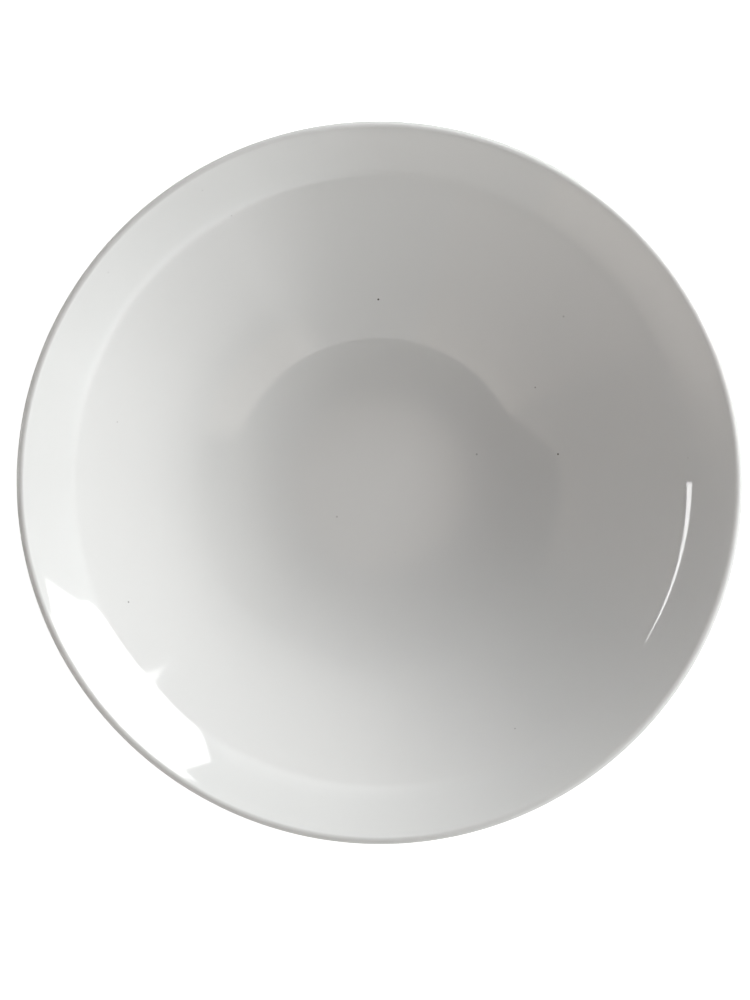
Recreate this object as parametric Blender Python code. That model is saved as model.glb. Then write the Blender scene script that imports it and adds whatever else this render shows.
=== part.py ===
"""Low evaporating dish: a porcelain body that stands on a bare flat foot, and the glaze over the rest.

Both pieces are turned about +Z from one outline, the glazed surface. It runs from the middle of the
inside, up the wall, over the round lip and down the outside to the glaze line above the foot.
The foot stands on z = 0 around the origin. Sizes are in metres, and slopes are in degrees.
"""

from math import cos, pi, radians, sin, tan

import bmesh
import bpy

RIM_RADIUS = 0.0625
LIP_THICKNESS = 0.0016
FLOOR_HEIGHT = 0.0032

# Arcs up the inside from its middle: where each ends, the slope that it ends with, and its steps.
INSIDE = [
    (0.205 * RIM_RADIUS, 1, 1),  # level middle of the floor
    (0.416 * RIM_RADIUS, 22, 4),  # floor's rising edge
    (0.517 * RIM_RADIUS, 27, 2),  # foot of the wall
    (0.635 * RIM_RADIUS, 30, 2),  # lower wall
    (0.840 * RIM_RADIUS, 31.5, 1),  # upper wall
    (0.878 * RIM_RADIUS, 40.5, 3),  # soft bend up to the rim band
    (0.960 * RIM_RADIUS, 42.5, 1),  # rim band
]

# Down the outside, the rim band runs beside the inner one, and a soft bend leads to a straight wall.
OUTSIDE_BEND_START = 0.905 * RIM_RADIUS
OUTSIDE_BEND_END = 0.865 * RIM_RADIUS
OUTSIDE_BEND_STEPS = 3
OUTSIDE_WALL_SLOPE = 32.7
GLAZE_LINE_RADIUS = 0.400 * RIM_RADIUS

LIP_STEPS = 8
GLAZE_THICKNESS = 0.0003
GLAZE_ROOM = 0.0003  # clear space between the body and its glaze
GLAZE_END_STEPS = 3

FOOT_BEND = 0.0030
FOOT_STEPS = 4
RECESS_RADIUS = 0.0150
RECESS_EDGE = 0.0010
RECESS_DEPTH = 0.0004

SEGMENTS = 60
SMOOTH_ANGLE = 40

BARE_PORCELAIN = {"Base Color": (0.80, 0.77, 0.72, 1.0), "Roughness": 0.65, "Metallic": 0.0}
GLAZE = {"Base Color": (0.82, 0.82, 0.80, 1.0), "Roughness": 0.10, "Metallic": 0.0}


def clear_scene():
    for found in list(bpy.data.objects):
        bpy.data.objects.remove(found, do_unlink=True)


def add_arc(outline, bend, heading, steps):
    """Turns an outline to this heading on an arc of radius bend, which is negative to turn clockwise.

    An outline holds (radius, height, heading), and its solid lies on the right of the way it runs."""
    start, height, before = outline[-1]
    for step in range(1, steps + 1):
        now = before + (heading - before) * step / steps
        outline.append(
            (
                start + bend * (sin(now) - sin(before)),
                height + bend * (cos(before) - cos(now)),
                now,
            )
        )


def add_arc_to(outline, radius, heading, steps):
    """Adds the arc that leaves the outline smoothly and reaches this radius at this heading."""
    start, _, before = outline[-1]
    add_arc(outline, (radius - start) / (sin(heading) - sin(before)), heading, steps)


def add_line_to(outline, radius):
    start, height, heading = outline[-1]
    outline.append((radius, height + (radius - start) * tan(heading), heading))


def sunk(outline, depth):
    """The outline moved into its solid by this depth."""
    return [(r + depth * sin(h), z - depth * cos(h), h) for r, z, h in outline]


def glazed_surface():
    """The outline of the finished surface, from the middle of the inside to the glaze line."""
    outline = [(0.0, FLOOR_HEIGHT, 0.0)]
    for radius, slope, steps in INSIDE:
        add_arc_to(outline, radius, radians(slope), steps)
    lip_bend = LIP_THICKNESS / 2
    band_heading = outline[-1][2]
    add_line_to(outline, RIM_RADIUS - lip_bend * (1 + sin(band_heading)))
    add_arc(outline, -lip_bend, band_heading - pi, LIP_STEPS)
    add_line_to(outline, OUTSIDE_BEND_START)
    add_arc_to(outline, OUTSIDE_BEND_END, radians(OUTSIDE_WALL_SLOPE) - pi, OUTSIDE_BEND_STEPS)
    add_line_to(outline, GLAZE_LINE_RADIUS)
    return outline


def body_outline():
    """The body lies under its glaze, then comes round the bare foot to the recess in its middle."""
    outline = sunk(glazed_surface(), GLAZE_THICKNESS + GLAZE_ROOM)
    radius, height, heading = outline[-1]
    bend_height = FOOT_BEND * (1 + cos(heading))
    add_line_to(outline, radius - (height - bend_height) / tan(heading))
    add_arc(outline, -FOOT_BEND, -pi, FOOT_STEPS)
    seat_edges = [(RECESS_RADIUS, 0.0), (RECESS_RADIUS - RECESS_EDGE, RECESS_DEPTH), (0.0, RECESS_DEPTH)]
    return [(r, z) for r, z, _ in outline] + seat_edges


def glaze_outline():
    """The glaze's outer side, its rounded end at the glaze line, and its inner side back again."""
    surface = glazed_surface()
    inner = sunk(surface, GLAZE_THICKNESS)
    add_arc(surface, -GLAZE_THICKNESS / 2, surface[-1][2] - pi, GLAZE_END_STEPS)
    return [(r, z) for r, z, _ in surface[:-1] + inner[::-1]]


def material(name, values):
    made = bpy.data.materials.new(name)
    made.use_nodes = True
    for socket, value in values.items():
        made.node_tree.nodes["Principled BSDF"].inputs[socket].default_value = value
    return made


def turned(name, outline, finish):
    """One closed body, turned about +Z from an outline that starts and ends on the axis."""
    work = bmesh.new()
    corners = [work.verts.new((radius, 0.0, height)) for radius, height in outline]
    sides = [work.edges.new(pair) for pair in zip(corners, corners[1:])]
    bmesh.ops.spin(
        work,
        geom=corners + sides,
        cent=(0, 0, 0),
        axis=(0, 0, 1),
        angle=2 * pi,
        steps=SEGMENTS,
        use_merge=True,
    )
    bmesh.ops.remove_doubles(work, verts=work.verts, dist=1e-6)
    bmesh.ops.recalc_face_normals(work, faces=work.faces)
    mesh = bpy.data.meshes.new(name)
    work.to_mesh(mesh)
    work.free()
    mesh.shade_smooth()
    mesh.set_sharp_from_angle(angle=radians(SMOOTH_ANGLE))
    mesh.materials.append(material(name + "_finish", finish))
    made = bpy.data.objects.new(name, mesh)
    bpy.context.scene.collection.objects.link(made)
    return made


def main():
    clear_scene()
    turned("porcelain_body", body_outline(), BARE_PORCELAIN)
    turned("glaze_coat", glaze_outline(), GLAZE)


main()
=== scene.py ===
from math import cos, pi, radians, sin, tan

import bpy
from bpy.props import FloatProperty, FloatVectorProperty, IntProperty, PointerProperty
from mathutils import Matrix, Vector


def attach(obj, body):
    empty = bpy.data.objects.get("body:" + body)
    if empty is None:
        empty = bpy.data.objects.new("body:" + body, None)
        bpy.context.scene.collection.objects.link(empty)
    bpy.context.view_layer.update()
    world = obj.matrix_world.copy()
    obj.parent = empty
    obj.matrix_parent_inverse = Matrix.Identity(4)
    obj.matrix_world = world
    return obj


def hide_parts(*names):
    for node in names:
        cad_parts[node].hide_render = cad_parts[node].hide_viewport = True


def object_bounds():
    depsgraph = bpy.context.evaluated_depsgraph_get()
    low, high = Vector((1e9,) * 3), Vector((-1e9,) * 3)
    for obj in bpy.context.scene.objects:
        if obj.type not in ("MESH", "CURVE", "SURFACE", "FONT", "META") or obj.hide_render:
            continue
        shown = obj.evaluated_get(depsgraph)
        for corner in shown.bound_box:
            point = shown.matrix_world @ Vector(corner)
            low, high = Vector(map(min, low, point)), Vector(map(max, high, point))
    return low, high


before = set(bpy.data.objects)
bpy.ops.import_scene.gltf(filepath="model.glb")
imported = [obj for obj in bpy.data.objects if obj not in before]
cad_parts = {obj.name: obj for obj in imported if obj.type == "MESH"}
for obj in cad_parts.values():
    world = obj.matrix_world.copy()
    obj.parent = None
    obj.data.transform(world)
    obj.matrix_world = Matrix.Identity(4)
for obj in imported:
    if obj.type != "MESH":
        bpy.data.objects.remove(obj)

bl_info = {
    "name": "Evaporating dish",
    "version": (1, 0, 0),
    "blender": (4, 5, 0),
    "location": "3D View > Sidebar > Dish",
    "description": "Turns a low evaporating dish with its glaze, and sets it on a lit stage",
    "category": "Object",
}

BODY_NODE = "porcelain_body"
GLAZE_NODE = "glaze_coat"
CAD_LOW, CAD_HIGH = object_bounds()

# Arcs up the inside from its middle: where each ends as a share of the rim's radius, the slope in
# degrees that it ends with, and its steps.
INSIDE = [
    (0.205, 1, 4),  # level middle of the floor
    (0.416, 22, 20),  # floor's rising edge
    (0.517, 27, 10),  # foot of the wall
    (0.635, 30, 6),  # lower wall
    (0.840, 31.5, 6),  # upper wall
    (0.878, 40.5, 12),  # soft bend up to the rim band
    (0.960, 42.5, 4),  # rim band
]
LIP_STEPS = 20
OUTSIDE_BAND_STEPS = 4

# Down the outside, shares of the rim's radius again.
OUTSIDE_BEND_START = 0.905
OUTSIDE_BEND_END = 0.865
OUTSIDE_BEND_STEPS = 8
OUTSIDE_SLOPE = radians(32.7)
OUTSIDE_STEPS = 24
GLAZE_LINE = 0.400
GLAZE_END_STEPS = 4
WAVER_REACH = 0.004  # how far up the wall the glaze line's waver is felt
WAVER_TOP = 0.0035  # what lies below this height is the outside of the wall
BODY_ROOM = 0.00002  # clear space between the body and its glaze

FOOT_BEND = 0.0030
FOOT_STEPS = 8
RECESS_RADIUS = 0.0150
RECESS_EDGE = 0.0010
RECESS_DEPTH = 0.0004
RECESS_STEPS = 6

MERGE_DISTANCE = 1e-6

GLAZE_IOR = 1.52
GLAZE_GLOSS = (0.8, 1.5)  # shares of the glaze's roughness where it is clean and where it is smeared
SPECK_CORE = 0.45  # the share of a speck's radius that keeps its full strength
SPECK_FAINTEST = 0.25
BARE_ROUGHNESS = 0.68
SCUFFED_ROUGHNESS = 0.42
SCUFF_EDGES = (0.52, 0.68)  # values of the noise where a scuff begins and where it is full
TOASTED = (0.96, 0.93, 0.88)  # what the kiln's toasting leaves of the bare porcelain's colour

NEUTRAL = (1.0, 1.0, 1.0)
COOL = (0.96, 1.00, 1.00)
WARM = (1.10, 1.00, 0.92)

CARD_DISTANCE = 1.2
CARD_GAP = 0.02  # each card stands this much further out than the one before it
CARD_STEP = 5.0  # degrees of azimuth between the corners of a card's edges

# Elevations in degrees where one ring of cards ends and the next begins.
CARD_FOOT = 3
CARD_WAIST = 26
CARD_SHOULDER = 40
CARD_CROWN = 49.5


def ring(low, high, azimuths, shares=(0, 1, 1, 0)):
    """Stations of a card that keeps its elevations, with the share of its glow at each azimuth."""
    return [(azimuth, low, high, share) for azimuth, share in zip(azimuths, shares)]


# Glowing cards on a sphere round the dish, which let each other's light through. Each has the glow
# of its lower and its upper edge, its colour, and its stations from one end to the other: an azimuth
# in degrees, the lowest and the highest elevation there, and the share of the glow if it isn't all.
CARDS = {
    "window": (
        7.0,
        6.0,
        NEUTRAL,
        [
            (15.8, 6, 11.7),
            (22, 6, 14.5),
            (23.8, 6, 23),
            (27, 6, 28.5),
            (41, 6, 33.5),
            (54.5, 6, 28),
            (55.4, 11.3, 24),
            (57.2, 12.4, 14.8),
            (58.8, 13.5, 13.9),
        ],
    ),
    "left_window": (12.0, 12.0, NEUTRAL, [(149, 23.2, 24.2), (180, 20.3, 26.9)]),
    "key_high": (2.9, 0.45, NEUTRAL, ring(CARD_WAIST, CARD_SHOULDER, (-35, 0, 85, 125))),
    "key_low": (0.0, 2.9, COOL, ring(CARD_FOOT, CARD_WAIST, (-25, 15, 85, 120))),
    "right_high": (2.9, 0.5, NEUTRAL, ring(CARD_WAIST, CARD_SHOULDER, (-80, -60, -25, 0))),
    "right_top": (1.15, 1.35, WARM, ring(CARD_SHOULDER, CARD_CROWN, (-70, -58, -22, -14))),
    "right_low": (0.0, 3.4, COOL, ring(CARD_FOOT, CARD_WAIST, (-90, -65, -20, 0))),
    "left_step": (
        0.0,
        0.65,
        WARM,
        ring(CARD_WAIST, CARD_SHOULDER, (150, 165, 187), (0, 1, 1)) + [(208, CARD_WAIST, CARD_CROWN)],
    ),
    "left_high": (0.0, 1.4, WARM, ring(CARD_WAIST, CARD_CROWN, (208, 255), (1, 1))),
    "front_high": (0.0, 1.05, NEUTRAL, ring(CARD_WAIST, CARD_CROWN, (255, 302), (1, 1))),
    "left_low": (1.5, 0.0, WARM, ring(CARD_FOOT, CARD_WAIST, (180, 200, 240), (0, 1, 1))),
    "front_low": (0.9, 0.0, NEUTRAL, ring(CARD_FOOT, CARD_WAIST, (240, 285, 305), (1, 1, 0))),
    "back_low": (2.0, 0.9, NEUTRAL, ring(1, 9, (100, 120, 180, 200))),
    "overhead": (0.0, 0.74, WARM, ring(74, 90, (0, 360), (1, 1))),
}
AIR_GLOW = 0.01
BACKGROUND_GLOW = 0.95
FLOOR_RADIUS = 4.0
FLOOR_CORNERS = 96
FLOOR_GLOW = 0.65
FLOOR_DROP = 0.00005

SENSOR_HEIGHT = 36.0
RIM_SHARE_OF_VIEW = 0.727
VIEW_OFFSET_X = -0.0122  # share of the rim's radius
VIEW_OFFSET_Y = -0.0475


class DishShape(bpy.types.PropertyGroup):
    """Sizes of the ware"""

    rim_radius: FloatProperty(
        name="Rim Radius",
        description="Half of the widest measure across the rim",
        default=CAD_HIGH[0],
        min=0.01,
        unit="LENGTH",
    )
    rim_height: FloatProperty(
        name="Rim Height",
        description="From the table to the top of the lip",
        default=CAD_HIGH[2],
        min=0.005,
        unit="LENGTH",
    )
    lip_thickness: FloatProperty(
        name="Lip Thickness",
        description="Thickness of the wall at its rounded lip",
        default=0.0016,
        min=0.0005,
        unit="LENGTH",
    )
    glaze_thickness: FloatProperty(
        name="Glaze Thickness",
        description="How far the glaze stands out from the porcelain",
        default=0.0002,
        min=0.00005,
        unit="LENGTH",
    )
    out_of_round: FloatProperty(
        name="Out of Round",
        description="How much narrower the fired rim is one way than the other",
        default=0.0047,
        min=0.0,
        max=0.05,
        subtype="FACTOR",
    )
    long_axis: FloatProperty(
        name="Long Axis",
        description="Direction of the rim's widest measure",
        default=radians(-15),
        subtype="ANGLE",
    )
    line_waver: FloatProperty(
        name="Glaze Line Waver",
        description="How far the glaze line wanders up and down above the foot",
        default=0.0005,
        min=0.0,
        unit="LENGTH",
    )
    segments: IntProperty(
        name="Segments",
        description="Steps round the dish",
        default=320,
        min=16,
        max=512,
    )


class DishFinish(bpy.types.PropertyGroup):
    """Colours and gloss of the ware"""

    glaze: FloatVectorProperty(
        name="Glaze",
        description="Colour of the glazed porcelain",
        default=(0.800, 0.800, 0.790),
        min=0.0,
        max=1.0,
        size=3,
        subtype="COLOR",
    )
    glaze_pool: FloatVectorProperty(
        name="Glaze Pool",
        description="Colour where the glaze lies a little thicker",
        default=(0.775, 0.778, 0.770),
        min=0.0,
        max=1.0,
        size=3,
        subtype="COLOR",
    )
    glaze_roughness: FloatProperty(
        name="Glaze Roughness",
        description="Roughness of the clean glaze",
        default=0.035,
        min=0.0,
        max=1.0,
        subtype="FACTOR",
    )
    speck: FloatVectorProperty(
        name="Iron Speck",
        description="Colour of the specks of iron under the glaze",
        default=(0.060, 0.045, 0.035),
        min=0.0,
        max=1.0,
        size=3,
        subtype="COLOR",
    )
    bare: FloatVectorProperty(
        name="Bare Porcelain",
        description="Colour of the unglazed foot",
        default=(0.760, 0.725, 0.665),
        min=0.0,
        max=1.0,
        size=3,
        subtype="COLOR",
    )
    scuff: FloatVectorProperty(
        name="Scuff",
        description="Colour of the marks that hot plates and tripods leave on the foot",
        default=(0.230, 0.215, 0.200),
        min=0.0,
        max=1.0,
        size=3,
        subtype="COLOR",
    )


class DishStage(bpy.types.PropertyGroup):
    """Floor, cards and camera"""

    floor: FloatVectorProperty(
        name="Floor",
        description="Colour of the floor",
        default=(0.90, 0.90, 0.90),
        min=0.0,
        max=1.0,
        size=3,
        subtype="COLOR",
    )
    brightness: FloatProperty(
        name="Brightness",
        description="Scales every card together",
        default=1.0,
        min=0.0,
        soft_max=4.0,
        subtype="FACTOR",
    )
    camera_distance: FloatProperty(
        name="Camera Distance",
        description="From the rim up to the camera",
        default=0.65,
        min=0.1,
        unit="LENGTH",
    )


# ------------------------------------------------------------------------- outlines


def add_arc(outline, bend, heading, steps):
    """Turns an outline to this heading on an arc of radius bend, which is negative to turn clockwise.

    An outline holds (radius, height, heading), and its solid lies on the right of the way it runs."""
    start, height, before = outline[-1]
    for step in range(1, steps + 1):
        now = before + (heading - before) * step / steps
        across = start + bend * (sin(now) - sin(before))
        outline.append((across, height + bend * (cos(before) - cos(now)), now))


def add_arc_to(outline, radius, heading, steps):
    """Adds the arc that leaves the outline smoothly and reaches this radius at this heading."""
    start, _, before = outline[-1]
    add_arc(outline, (radius - start) / (sin(heading) - sin(before)), heading, steps)


def add_line_to(outline, radius, steps=1):
    start, height, heading = outline[-1]
    for step in range(1, steps + 1):
        run = (radius - start) * step / steps
        outline.append((start + run, height + run * tan(heading), heading))


def sunk(outline, depth):
    """The outline moved into its solid by this depth."""
    return [(r + depth * sin(h), z - depth * cos(h), h) for r, z, h in outline]


def glazed_surface(shape):
    """The finished surface, from the middle of the inside over the lip to the glaze line."""
    rim = shape.rim_radius
    lip_bend = shape.lip_thickness / 2
    outline = [(0.0, 0.0, 0.0)]
    for share, slope, steps in INSIDE:
        add_arc_to(outline, share * rim, radians(slope), steps)
    band = outline[-1][2]
    add_line_to(outline, rim - lip_bend * (1 + sin(band)))
    add_arc(outline, -lip_bend, band - pi, LIP_STEPS)
    add_line_to(outline, OUTSIDE_BEND_START * rim, OUTSIDE_BAND_STEPS)
    add_arc_to(outline, OUTSIDE_BEND_END * rim, OUTSIDE_SLOPE - pi, OUTSIDE_BEND_STEPS)
    add_line_to(outline, GLAZE_LINE * rim, OUTSIDE_STEPS)
    lift = shape.rim_height - max(height for _, height, _ in outline)
    return [(radius, height + lift, heading) for radius, height, heading in outline]


def glaze_outline(shape):
    """The glaze's outer side, its rounded end at the glaze line, and its inner side back again."""
    surface = glazed_surface(shape)
    inner = sunk(surface, shape.glaze_thickness)
    add_arc(surface, -shape.glaze_thickness / 2, surface[-1][2] - pi, GLAZE_END_STEPS)
    return surface[:-1] + inner[::-1]


def body_outline(shape):
    """The body under the glaze, then the bare foot: its rounded edge, its seat and its recess."""
    outline = sunk(glazed_surface(shape), shape.glaze_thickness + BODY_ROOM)
    radius, height, heading = outline[-1]
    bend_height = FOOT_BEND * (1 + cos(heading))
    add_line_to(outline, radius - (height - bend_height) / tan(heading))
    add_arc(outline, -FOOT_BEND, -pi, FOOT_STEPS)
    add_line_to(outline, RECESS_RADIUS)
    for step in range(1, RECESS_STEPS + 1):
        share = step / RECESS_STEPS
        rise = RECESS_DEPTH * (1 - cos(pi * share)) / 2
        outline.append((RECESS_RADIUS - RECESS_EDGE * share, rise, -pi))
    outline.append((0.0, RECESS_DEPTH, -pi))
    return outline


def outline_object(name, outline, shape):
    """The outline as a string of points in the XZ plane.

    Its attribute "slide" says which way each point moves as the glaze line wavers."""
    mesh = bpy.data.meshes.new(name)
    points = [(radius, 0.0, height) for radius, height, _ in outline]
    mesh.from_pydata(points, [(i, i + 1) for i in range(len(points) - 1)], [])
    slides = mesh.attributes.new("slide", "FLOAT_VECTOR", "POINT")
    for slide, (radius, _, height) in zip(slides.data, points):
        near = 1 - abs(radius - GLAZE_LINE * shape.rim_radius) / WAVER_REACH
        share = max(0.0, near) if height < WAVER_TOP else 0.0
        slide.vector = (share * cos(OUTSIDE_SLOPE), 0.0, share * sin(OUTSIDE_SLOPE))
    made = bpy.data.objects.new(name, mesh)
    bpy.context.scene.collection.objects.link(made)
    return made


# ------------------------------------------------------------------------- node helpers


def node(tree, kind, feeds=None, **settings):
    """Adds a node. feeds gives its inputs by name or place, as a socket to link or a value to set."""
    made = tree.nodes.new(kind)
    for name, value in settings.items():
        setattr(made, name, value)
    for key, feed in (feeds or {}).items():
        if isinstance(feed, bpy.types.NodeSocket):
            tree.links.new(feed, made.inputs[key])
        else:
            made.inputs[key].default_value = feed
    return made


def calc(tree, operation, *values):
    return node(tree, "ShaderNodeMath", dict(enumerate(values)), operation=operation).outputs[0]


def scaled(tree, vector, scale):
    feeds = {"Vector": vector, "Scale": scale}
    return node(tree, "ShaderNodeVectorMath", feeds, operation="SCALE").outputs[0]


def split(tree, vector):
    return node(tree, "ShaderNodeSeparateXYZ", {"Vector": vector}).outputs


def joined(tree, x, y, z):
    return node(tree, "ShaderNodeCombineXYZ", {"X": x, "Y": y, "Z": z}).outputs[0]


def add_sockets(tree, way, sockets):
    """Adds sockets to a group. Each is (name, type) or (name, type, default)."""
    for name, kind, *default in sockets:
        made = tree.interface.new_socket(name, in_out=way, socket_type="NodeSocket" + kind)
        if default:
            made.default_value = default[0]


# ------------------------------------------------------------------------- turning


def turning_tree():
    """Turns an outline about Z, on a grid with a row for each point and a column for each step."""
    tree = bpy.data.node_groups.new("Turned ware", "GeometryNodeTree")
    inputs = [
        ("Outline", "Geometry"),
        ("Segments", "Int", 64),
        ("Out Of Round", "Float", 0.0),
        ("Long Axis", "Float", 0.0),
        ("Line Waver", "Float", 0.0),
        ("Wavers Round", "Float", 3.0),
        ("Finish", "Material"),
    ]
    add_sockets(tree, "INPUT", inputs)
    add_sockets(tree, "OUTPUT", [("Ware", "Geometry")])
    given = node(tree, "NodeGroupInput").outputs
    place = node(tree, "GeometryNodeInputPosition").outputs[0]

    size = node(tree, "GeometryNodeAttributeDomainSize", {"Geometry": given["Outline"]})
    rows = size.outputs["Point Count"]
    columns = calc(tree, "ADD", given["Segments"], 1)
    counts = {"Size X": 1.0, "Size Y": 1.0, "Vertices X": rows, "Vertices Y": columns}
    grid = node(tree, "GeometryNodeMeshGrid", counts).outputs["Mesh"]
    along, round_share, _ = split(tree, place)
    last_row = calc(tree, "SUBTRACT", rows, 1)
    row = calc(tree, "ROUND", calc(tree, "MULTIPLY", calc(tree, "ADD", along, 0.5), last_row))
    angle = calc(tree, "MULTIPLY", round_share, 2 * pi)
    outward = joined(tree, calc(tree, "COSINE", angle), calc(tree, "SINE", angle), 0.0)

    def of_outline(value):
        feeds = {"Geometry": given["Outline"], "Value": value, "Index": row}
        sample = node(tree, "GeometryNodeSampleIndex", feeds, data_type="FLOAT_VECTOR")
        return split(tree, sample.outputs[0])

    named = node(
        tree, "GeometryNodeInputNamedAttribute", {"Name": "slide"}, data_type="FLOAT_VECTOR"
    )
    radius, _, height = of_outline(place)
    slide_out, _, slide_up = of_outline(named.outputs["Attribute"])
    noise_feeds = {"Vector": outward, "Scale": given["Wavers Round"], "Detail": 3.0}
    noise = node(tree, "ShaderNodeTexNoise", noise_feeds).outputs[0]
    swing = calc(tree, "MULTIPLY", calc(tree, "SUBTRACT", noise, 0.5), 2.0)
    waver = calc(tree, "MULTIPLY", swing, given["Line Waver"])
    off_axis = calc(tree, "SINE", calc(tree, "SUBTRACT", angle, given["Long Axis"]))
    pinch = calc(tree, "MULTIPLY", given["Out Of Round"], calc(tree, "POWER", off_axis, 2.0))
    reach = calc(
        tree,
        "MULTIPLY",
        calc(tree, "MULTIPLY_ADD", slide_out, waver, radius),
        calc(tree, "SUBTRACT", 1.0, pinch),
    )
    level = calc(tree, "MULTIPLY_ADD", slide_up, waver, height)
    across = scaled(tree, outward, reach)
    spot = node(
        tree, "ShaderNodeVectorMath", {0: across, 1: joined(tree, 0.0, 0.0, level)}, operation="ADD"
    ).outputs[0]

    ware = node(tree, "GeometryNodeSetPosition", {"Geometry": grid, "Position": spot}).outputs[0]
    merge = {"Geometry": ware, "Distance": MERGE_DISTANCE}
    ware = node(tree, "GeometryNodeMergeByDistance", merge).outputs[0]
    ware = node(tree, "GeometryNodeSetShadeSmooth", {"Geometry": ware}).outputs[0]
    ware = node(tree, "GeometryNodeRealizeInstances", {"Geometry": ware}).outputs[0]
    finish = {"Geometry": ware, "Material": given["Finish"]}
    ware = node(tree, "GeometryNodeSetMaterial", finish).outputs[0]
    node(tree, "NodeGroupOutput", {"Ware": ware})
    return tree


def turned(name, outline, shape, waver, finish):
    """A plain mesh piece, turned from the outline by the turning tree."""
    pattern = outline_object(name + "_outline", outline, shape)
    turner = pattern.modifiers.new("Turn", "NODES")
    turner.node_group = bpy.data.node_groups.get("Turned ware") or turning_tree()
    values = {
        "Segments": shape.segments,
        "Out Of Round": shape.out_of_round,
        "Long Axis": shape.long_axis,
        "Line Waver": waver,
        "Finish": finish,
    }
    for item in turner.node_group.interface.items_tree:
        if item.in_out == "INPUT" and item.name in values:
            turner[item.identifier] = values[item.name]
    graph = bpy.context.evaluated_depsgraph_get()
    mesh = bpy.data.meshes.new_from_object(pattern.evaluated_get(graph), depsgraph=graph)
    bpy.data.objects.remove(pattern, do_unlink=True)
    if not mesh.polygons:
        raise RuntimeError(name + " came out empty")
    mesh.name = name
    made = bpy.data.objects.new(name, mesh)
    bpy.context.scene.collection.objects.link(made)
    return made


# ------------------------------------------------------------------------- finishes


def effect(name, inputs, outputs):
    """A new shader group, and the sockets of its Group Input."""
    tree = bpy.data.node_groups.new(name, "ShaderNodeTree")
    add_sockets(tree, "INPUT", inputs)
    add_sockets(tree, "OUTPUT", outputs)
    return tree, node(tree, "NodeGroupInput").outputs


def object_place(tree):
    return node(tree, "ShaderNodeTexCoord").outputs["Object"]


def noise_of_size(tree, size, detail, roughness=0.5):
    feeds = {
        "Vector": object_place(tree),
        "Scale": calc(tree, "DIVIDE", 1.0, size),
        "Detail": detail,
        "Roughness": roughness,
    }
    return node(tree, "ShaderNodeTexNoise", feeds).outputs[0]


def ramp(tree, value, value_range, result_range, smooth=False):
    feeds = {
        "Value": value,
        "From Min": value_range[0],
        "From Max": value_range[1],
        "To Min": result_range[0],
        "To Max": result_range[1],
    }
    kind = "SMOOTHSTEP" if smooth else "LINEAR"
    return node(tree, "ShaderNodeMapRange", feeds, interpolation_type=kind).outputs[0]


def blended(tree, share, first, second):
    """The first colour where the share is 0, and the second where it is 1.

    A Mix node takes its colours at places 6 and 7, and gives the mixed one at place 2."""
    feeds = {0: share}
    for place, colour in {6: first, 7: second}.items():
        feeds[place] = colour if isinstance(colour, bpy.types.NodeSocket) else (*colour, 1.0)
    return node(tree, "ShaderNodeMix", feeds, data_type="RGBA").outputs[2]


def iron_specks():
    """Sparse round specks, each of its own strength. The mask is 1 in the middle of a strong one."""
    inputs = [("Spacing", "Float", 0.008), ("Radius", "Float", 0.0002)]
    tree, given = effect("Iron specks", inputs, [("Mask", "Float")])
    spacing = given["Spacing"]
    feeds = {"Vector": object_place(tree), "Scale": calc(tree, "DIVIDE", 1.0, spacing)}
    cells = node(tree, "ShaderNodeTexVoronoi", feeds)
    away = calc(tree, "MULTIPLY", cells.outputs["Distance"], spacing)
    core = calc(tree, "MULTIPLY", given["Radius"], SPECK_CORE)
    disc = ramp(tree, away, (core, given["Radius"]), (1.0, 0.0), smooth=True)
    chance = node(tree, "ShaderNodeSeparateColor", {"Color": cells.outputs["Color"]}).outputs[0]
    strength = ramp(tree, chance, (0.0, 1.0), (SPECK_FAINTEST, 1.0))
    node(tree, "NodeGroupOutput", {"Mask": calc(tree, "MULTIPLY", disc, strength)})
    return tree


def kiln_drift():
    """A slow drift over the surface from 0 to 1, which tone and gloss follow."""
    inputs = [("Size", "Float", 0.03), ("Contrast", "Float", 1.5)]
    tree, given = effect("Kiln drift", inputs, [("Share", "Float")])
    noise = noise_of_size(tree, given["Size"], 4.0, 0.55)
    spread = calc(tree, "MULTIPLY", calc(tree, "SUBTRACT", noise, 0.5), given["Contrast"])
    share = node(tree, "ShaderNodeClamp", {"Value": calc(tree, "ADD", spread, 0.5)}).outputs[0]
    node(tree, "NodeGroupOutput", {"Share": share})
    return tree


def fired_skin():
    """The height of a fired surface in metres: its long waves and its fine grain."""
    inputs = [
        ("Wave Size", "Float", 0.03),
        ("Wave Height", "Float", 0.00003),
        ("Grain Size", "Float", 0.001),
        ("Grain Height", "Float", 0.000001),
    ]
    tree, given = effect("Fired skin", inputs, [("Height", "Float")])
    waves = calc(tree, "MULTIPLY", noise_of_size(tree, given["Wave Size"], 1.0), given["Wave Height"])
    grain = calc(tree, "MULTIPLY", noise_of_size(tree, given["Grain Size"], 3.0), given["Grain Height"])
    node(tree, "NodeGroupOutput", {"Height": calc(tree, "ADD", waves, grain)})
    return tree


def foot_scuffs():
    """Broken marks on what touches the table, up to a little above it."""
    inputs = [("Reach", "Float", 0.0004), ("Size", "Float", 0.0015), ("Amount", "Float", 0.5)]
    tree, given = effect("Foot scuffs", inputs, [("Mask", "Float")])
    height = split(tree, object_place(tree))[2]
    low = ramp(tree, height, (0.0, given["Reach"]), (1.0, 0.0))
    noise = noise_of_size(tree, given["Size"], 6.0, 0.7)
    marks = ramp(tree, noise, SCUFF_EDGES, (0.0, 1.0), smooth=True)
    mask = calc(tree, "MULTIPLY", calc(tree, "MULTIPLY", low, marks), given["Amount"])
    node(tree, "NodeGroupOutput", {"Mask": mask})
    return tree


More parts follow.
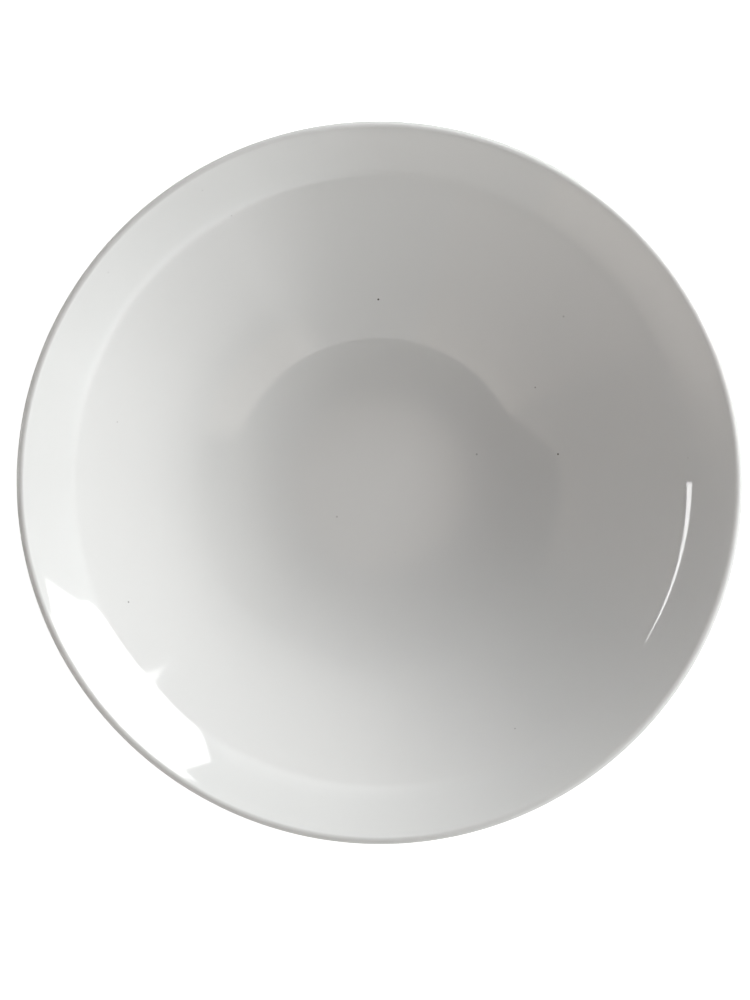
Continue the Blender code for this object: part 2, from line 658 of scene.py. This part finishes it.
def effect_value(tree, build, feeds):
    """Places an effect in a material, built the first time it is asked for, and gives its output."""
    name = build.__name__.replace("_", " ").capitalize()
    group = bpy.data.node_groups.get(name) or build()
    placed = tree.nodes.new("ShaderNodeGroup")
    placed.node_tree = group
    for key, value in feeds.items():
        placed.inputs[key].default_value = value
    return placed.outputs[0]


def new_material(name):
    """A new material, its nodes and its shader."""
    made = bpy.data.materials.new(name)
    made.use_nodes = True
    return made, made.node_tree, made.node_tree.nodes["Principled BSDF"]


def set_skin(tree, shader, skin):
    """Bends the shader's normals over a fired skin of these sizes."""
    height = effect_value(tree, fired_skin, skin)
    bump = node(tree, "ShaderNodeBump", {"Height": height, "Strength": 1.0, "Distance": 1.0})
    tree.links.new(bump.outputs[0], shader.inputs["Normal"])


def glaze_finish(finish):
    made, tree, shader = new_material("Porcelain glaze")
    pooling = effect_value(tree, kiln_drift, {"Size": 0.030, "Contrast": 1.6})
    smears = effect_value(tree, kiln_drift, {"Size": 0.011, "Contrast": 2.2})
    specks = effect_value(tree, iron_specks, {"Spacing": 0.008, "Radius": 0.00024})
    tone = blended(tree, pooling, finish.glaze, finish.glaze_pool)
    tree.links.new(blended(tree, specks, tone, finish.speck), shader.inputs["Base Color"])
    roughness = [finish.glaze_roughness * share for share in GLAZE_GLOSS]
    tree.links.new(ramp(tree, smears, (0.0, 1.0), roughness), shader.inputs["Roughness"])
    shader.inputs["IOR"].default_value = GLAZE_IOR
    skin = {
        "Wave Size": 0.030,
        "Wave Height": 0.00004,
        "Grain Size": 0.0016,
        "Grain Height": 0.0000008,
    }
    set_skin(tree, shader, skin)
    return made


def bare_finish(finish):
    made, tree, shader = new_material("Bare porcelain")
    toasting = effect_value(tree, kiln_drift, {"Size": 0.012, "Contrast": 1.6})
    scuffs = effect_value(tree, foot_scuffs, {"Reach": 0.0004, "Size": 0.0015, "Amount": 0.55})
    specks = effect_value(tree, iron_specks, {"Spacing": 0.006, "Radius": 0.00020})
    toasted = [part * share for part, share in zip(finish.bare, TOASTED)]
    tone = blended(tree, toasting, finish.bare, toasted)
    tone = blended(tree, specks, tone, finish.speck)
    tree.links.new(blended(tree, scuffs, tone, finish.scuff), shader.inputs["Base Color"])
    roughness = ramp(tree, scuffs, (0.0, 1.0), (BARE_ROUGHNESS, SCUFFED_ROUGHNESS))
    tree.links.new(roughness, shader.inputs["Roughness"])
    skin = {
        "Wave Size": 0.010,
        "Wave Height": 0.00003,
        "Grain Size": 0.0004,
        "Grain Height": 0.000012,
    }
    set_skin(tree, shader, skin)
    return made


# ------------------------------------------------------------------------- stage


def on_sphere(azimuth, elevation, distance):
    level = distance * cos(radians(elevation))
    return (
        level * cos(radians(azimuth)),
        level * sin(radians(azimuth)),
        distance * sin(radians(elevation)),
    )


def card_finish(colour):
    """Adds light from a card's front, as strong as its attribute "glow", to what comes through it."""
    made = bpy.data.materials.new("Glowing card")
    made.use_nodes = True
    tree = made.node_tree
    tree.nodes.clear()
    back = node(tree, "ShaderNodeNewGeometry").outputs["Backfacing"]
    glow = node(tree, "ShaderNodeAttribute", attribute_name="glow").outputs["Fac"]
    strength = calc(tree, "MULTIPLY", glow, calc(tree, "SUBTRACT", 1.0, back))
    light = node(tree, "ShaderNodeEmission", {"Color": (*colour, 1.0), "Strength": strength})
    clear = node(tree, "ShaderNodeBsdfTransparent")
    both = node(tree, "ShaderNodeAddShader", {0: light.outputs[0], 1: clear.outputs[0]})
    node(tree, "ShaderNodeOutputMaterial", {"Surface": both.outputs[0]})
    return made


def make_card(name, stations, glows, finish, distance):
    """A curved card between its stations. Its edges and its glow run evenly from one to the next."""
    spots = []
    strengths = []
    full = [station if len(station) == 4 else (*station, 1) for station in stations]
    for first, last in zip(full, full[1:]):
        columns = max(1, round((last[0] - first[0]) / CARD_STEP))
        for column in range(columns + 1):
            share = column / columns
            azimuth, low, high, fade = [a + (b - a) * share for a, b in zip(first, last)]
            spots += [on_sphere(azimuth, low, distance), on_sphere(azimuth, high, distance)]
            strengths += [glow * fade for glow in glows]
    faces = [(i, i + 1, i + 3, i + 2) for i in range(0, len(spots) - 2, 2)]
    mesh = bpy.data.meshes.new(name)
    mesh.from_pydata(spots, [], faces)
    attribute = mesh.attributes.new("glow", "FLOAT", "POINT")
    attribute.data.foreach_set("value", strengths)
    mesh.materials.append(finish)
    card = bpy.data.objects.new(name, mesh)
    card.visible_camera = False
    bpy.context.scene.collection.objects.link(card)


def make_cards(stage):
    for order, (name, (low, high, colour, stations)) in enumerate(CARDS.items()):
        glows = (low * stage.brightness, high * stage.brightness)
        make_card(name, stations, glows, card_finish(colour), CARD_DISTANCE + CARD_GAP * order)


def make_floor(stage):
    bpy.ops.mesh.primitive_circle_add(
        vertices=FLOOR_CORNERS,
        radius=FLOOR_RADIUS,
        fill_type="NGON",
        location=(0, 0, -FLOOR_DROP),
    )
    floor = bpy.context.object
    floor.name = "floor"
    made, tree, shader = new_material("Pale floor")
    shader.inputs["Base Color"].default_value = (*stage.floor, 1.0)
    shader.inputs["Roughness"].default_value = 0.9
    shader.inputs["Specular IOR Level"].default_value = 0.1
    shader.inputs["Emission Color"].default_value = (1.0, 1.0, 1.0, 1.0)
    seen = node(tree, "ShaderNodeLightPath").outputs["Is Camera Ray"]
    tree.links.new(calc(tree, "MULTIPLY", seen, FLOOR_GLOW), shader.inputs["Emission Strength"])
    floor.data.materials.append(made)


def make_air():
    """A dim even glow from all round, behind a pale background."""
    air = bpy.data.worlds.new("Studio air")
    air.use_nodes = True
    tree = air.node_tree
    seen = node(tree, "ShaderNodeLightPath").outputs["Is Camera Ray"]
    glow = calc(tree, "MULTIPLY_ADD", seen, BACKGROUND_GLOW - AIR_GLOW, AIR_GLOW)
    background = tree.nodes["Background"]
    background.inputs["Color"].default_value = (1.0, 1.0, 1.0, 1.0)
    tree.links.new(glow, background.inputs["Strength"])
    bpy.context.scene.world = air


def make_camera(stage, shape):
    """Looks straight down, with the dish a little above and right of the middle."""
    camera = bpy.data.cameras.new("camera")
    camera.sensor_fit = "VERTICAL"
    camera.sensor_height = SENSOR_HEIGHT
    view_height = 2 * shape.rim_radius / RIM_SHARE_OF_VIEW
    camera.lens = SENSOR_HEIGHT * stage.camera_distance / view_height
    camera.clip_start = 0.01
    holder = bpy.data.objects.new("camera", camera)
    holder.location = (
        VIEW_OFFSET_X * shape.rim_radius,
        VIEW_OFFSET_Y * shape.rim_radius,
        shape.rim_height + stage.camera_distance,
    )
    bpy.context.scene.collection.objects.link(holder)
    bpy.context.scene.camera = holder


# ------------------------------------------------------------------------- add-on


class DISH_OT_glaze(bpy.types.Operator):
    """Turns the glaze over the inside, the lip and the outside"""

    bl_idname = "dish.glaze"
    bl_label = "Glaze"

    def execute(self, context):
        shape = context.scene.dish_shape
        finish = glaze_finish(context.scene.dish_finish)
        glaze = turned("glaze", glaze_outline(shape), shape, shape.line_waver, finish)
        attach(glaze, "root")
        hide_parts(GLAZE_NODE)
        return {"FINISHED"}


class DISH_OT_body(bpy.types.Operator):
    """Turns the porcelain body, down to its bare foot"""

    bl_idname = "dish.body"
    bl_label = "Porcelain Body"

    def execute(self, context):
        shape = context.scene.dish_shape
        finish = bare_finish(context.scene.dish_finish)
        body = turned("bare_body", body_outline(shape), shape, 0.0, finish)
        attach(body, "root")
        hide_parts(BODY_NODE)
        return {"FINISHED"}


class DISH_OT_stage(bpy.types.Operator):
    """Sets out the floor, the glowing cards and the camera"""

    bl_idname = "dish.stage"
    bl_label = "Stage"

    def execute(self, context):
        stage = context.scene.dish_stage
        make_floor(stage)
        make_cards(stage)
        make_air()
        make_camera(stage, context.scene.dish_shape)
        context.scene.view_settings.view_transform = "Standard"
        return {"FINISHED"}


class DISH_PT_panel(bpy.types.Panel):
    """Lists what the dish is made of"""

    bl_label = "Evaporating Dish"
    bl_idname = "DISH_PT_panel"
    bl_space_type = "VIEW_3D"
    bl_region_type = "UI"
    bl_category = "Dish"

    def draw(self, context):
        groups = {
            context.scene.dish_shape: (DISH_OT_glaze, DISH_OT_body),
            context.scene.dish_finish: (),
            context.scene.dish_stage: (DISH_OT_stage,),
        }
        for group, operators in groups.items():
            box = self.layout.box()
            for name in group.bl_rna.properties.keys():
                if name not in {"rna_type", "name"}:
                    box.prop(group, name)
            for operator in operators:
                box.operator(operator.bl_idname)


CLASSES = (
    DishShape,
    DishFinish,
    DishStage,
    DISH_OT_glaze,
    DISH_OT_body,
    DISH_OT_stage,
    DISH_PT_panel,
)


def register():
    for made in CLASSES:
        bpy.utils.register_class(made)
    bpy.types.Scene.dish_shape = PointerProperty(type=DishShape)
    bpy.types.Scene.dish_finish = PointerProperty(type=DishFinish)
    bpy.types.Scene.dish_stage = PointerProperty(type=DishStage)


def unregister():
    del bpy.types.Scene.dish_stage
    del bpy.types.Scene.dish_finish
    del bpy.types.Scene.dish_shape
    for made in reversed(CLASSES):
        bpy.utils.unregister_class(made)


def main():
    register()
    bpy.ops.dish.glaze()
    bpy.ops.dish.body()
    bpy.ops.dish.stage()


if __name__ == "__main__":
    main()
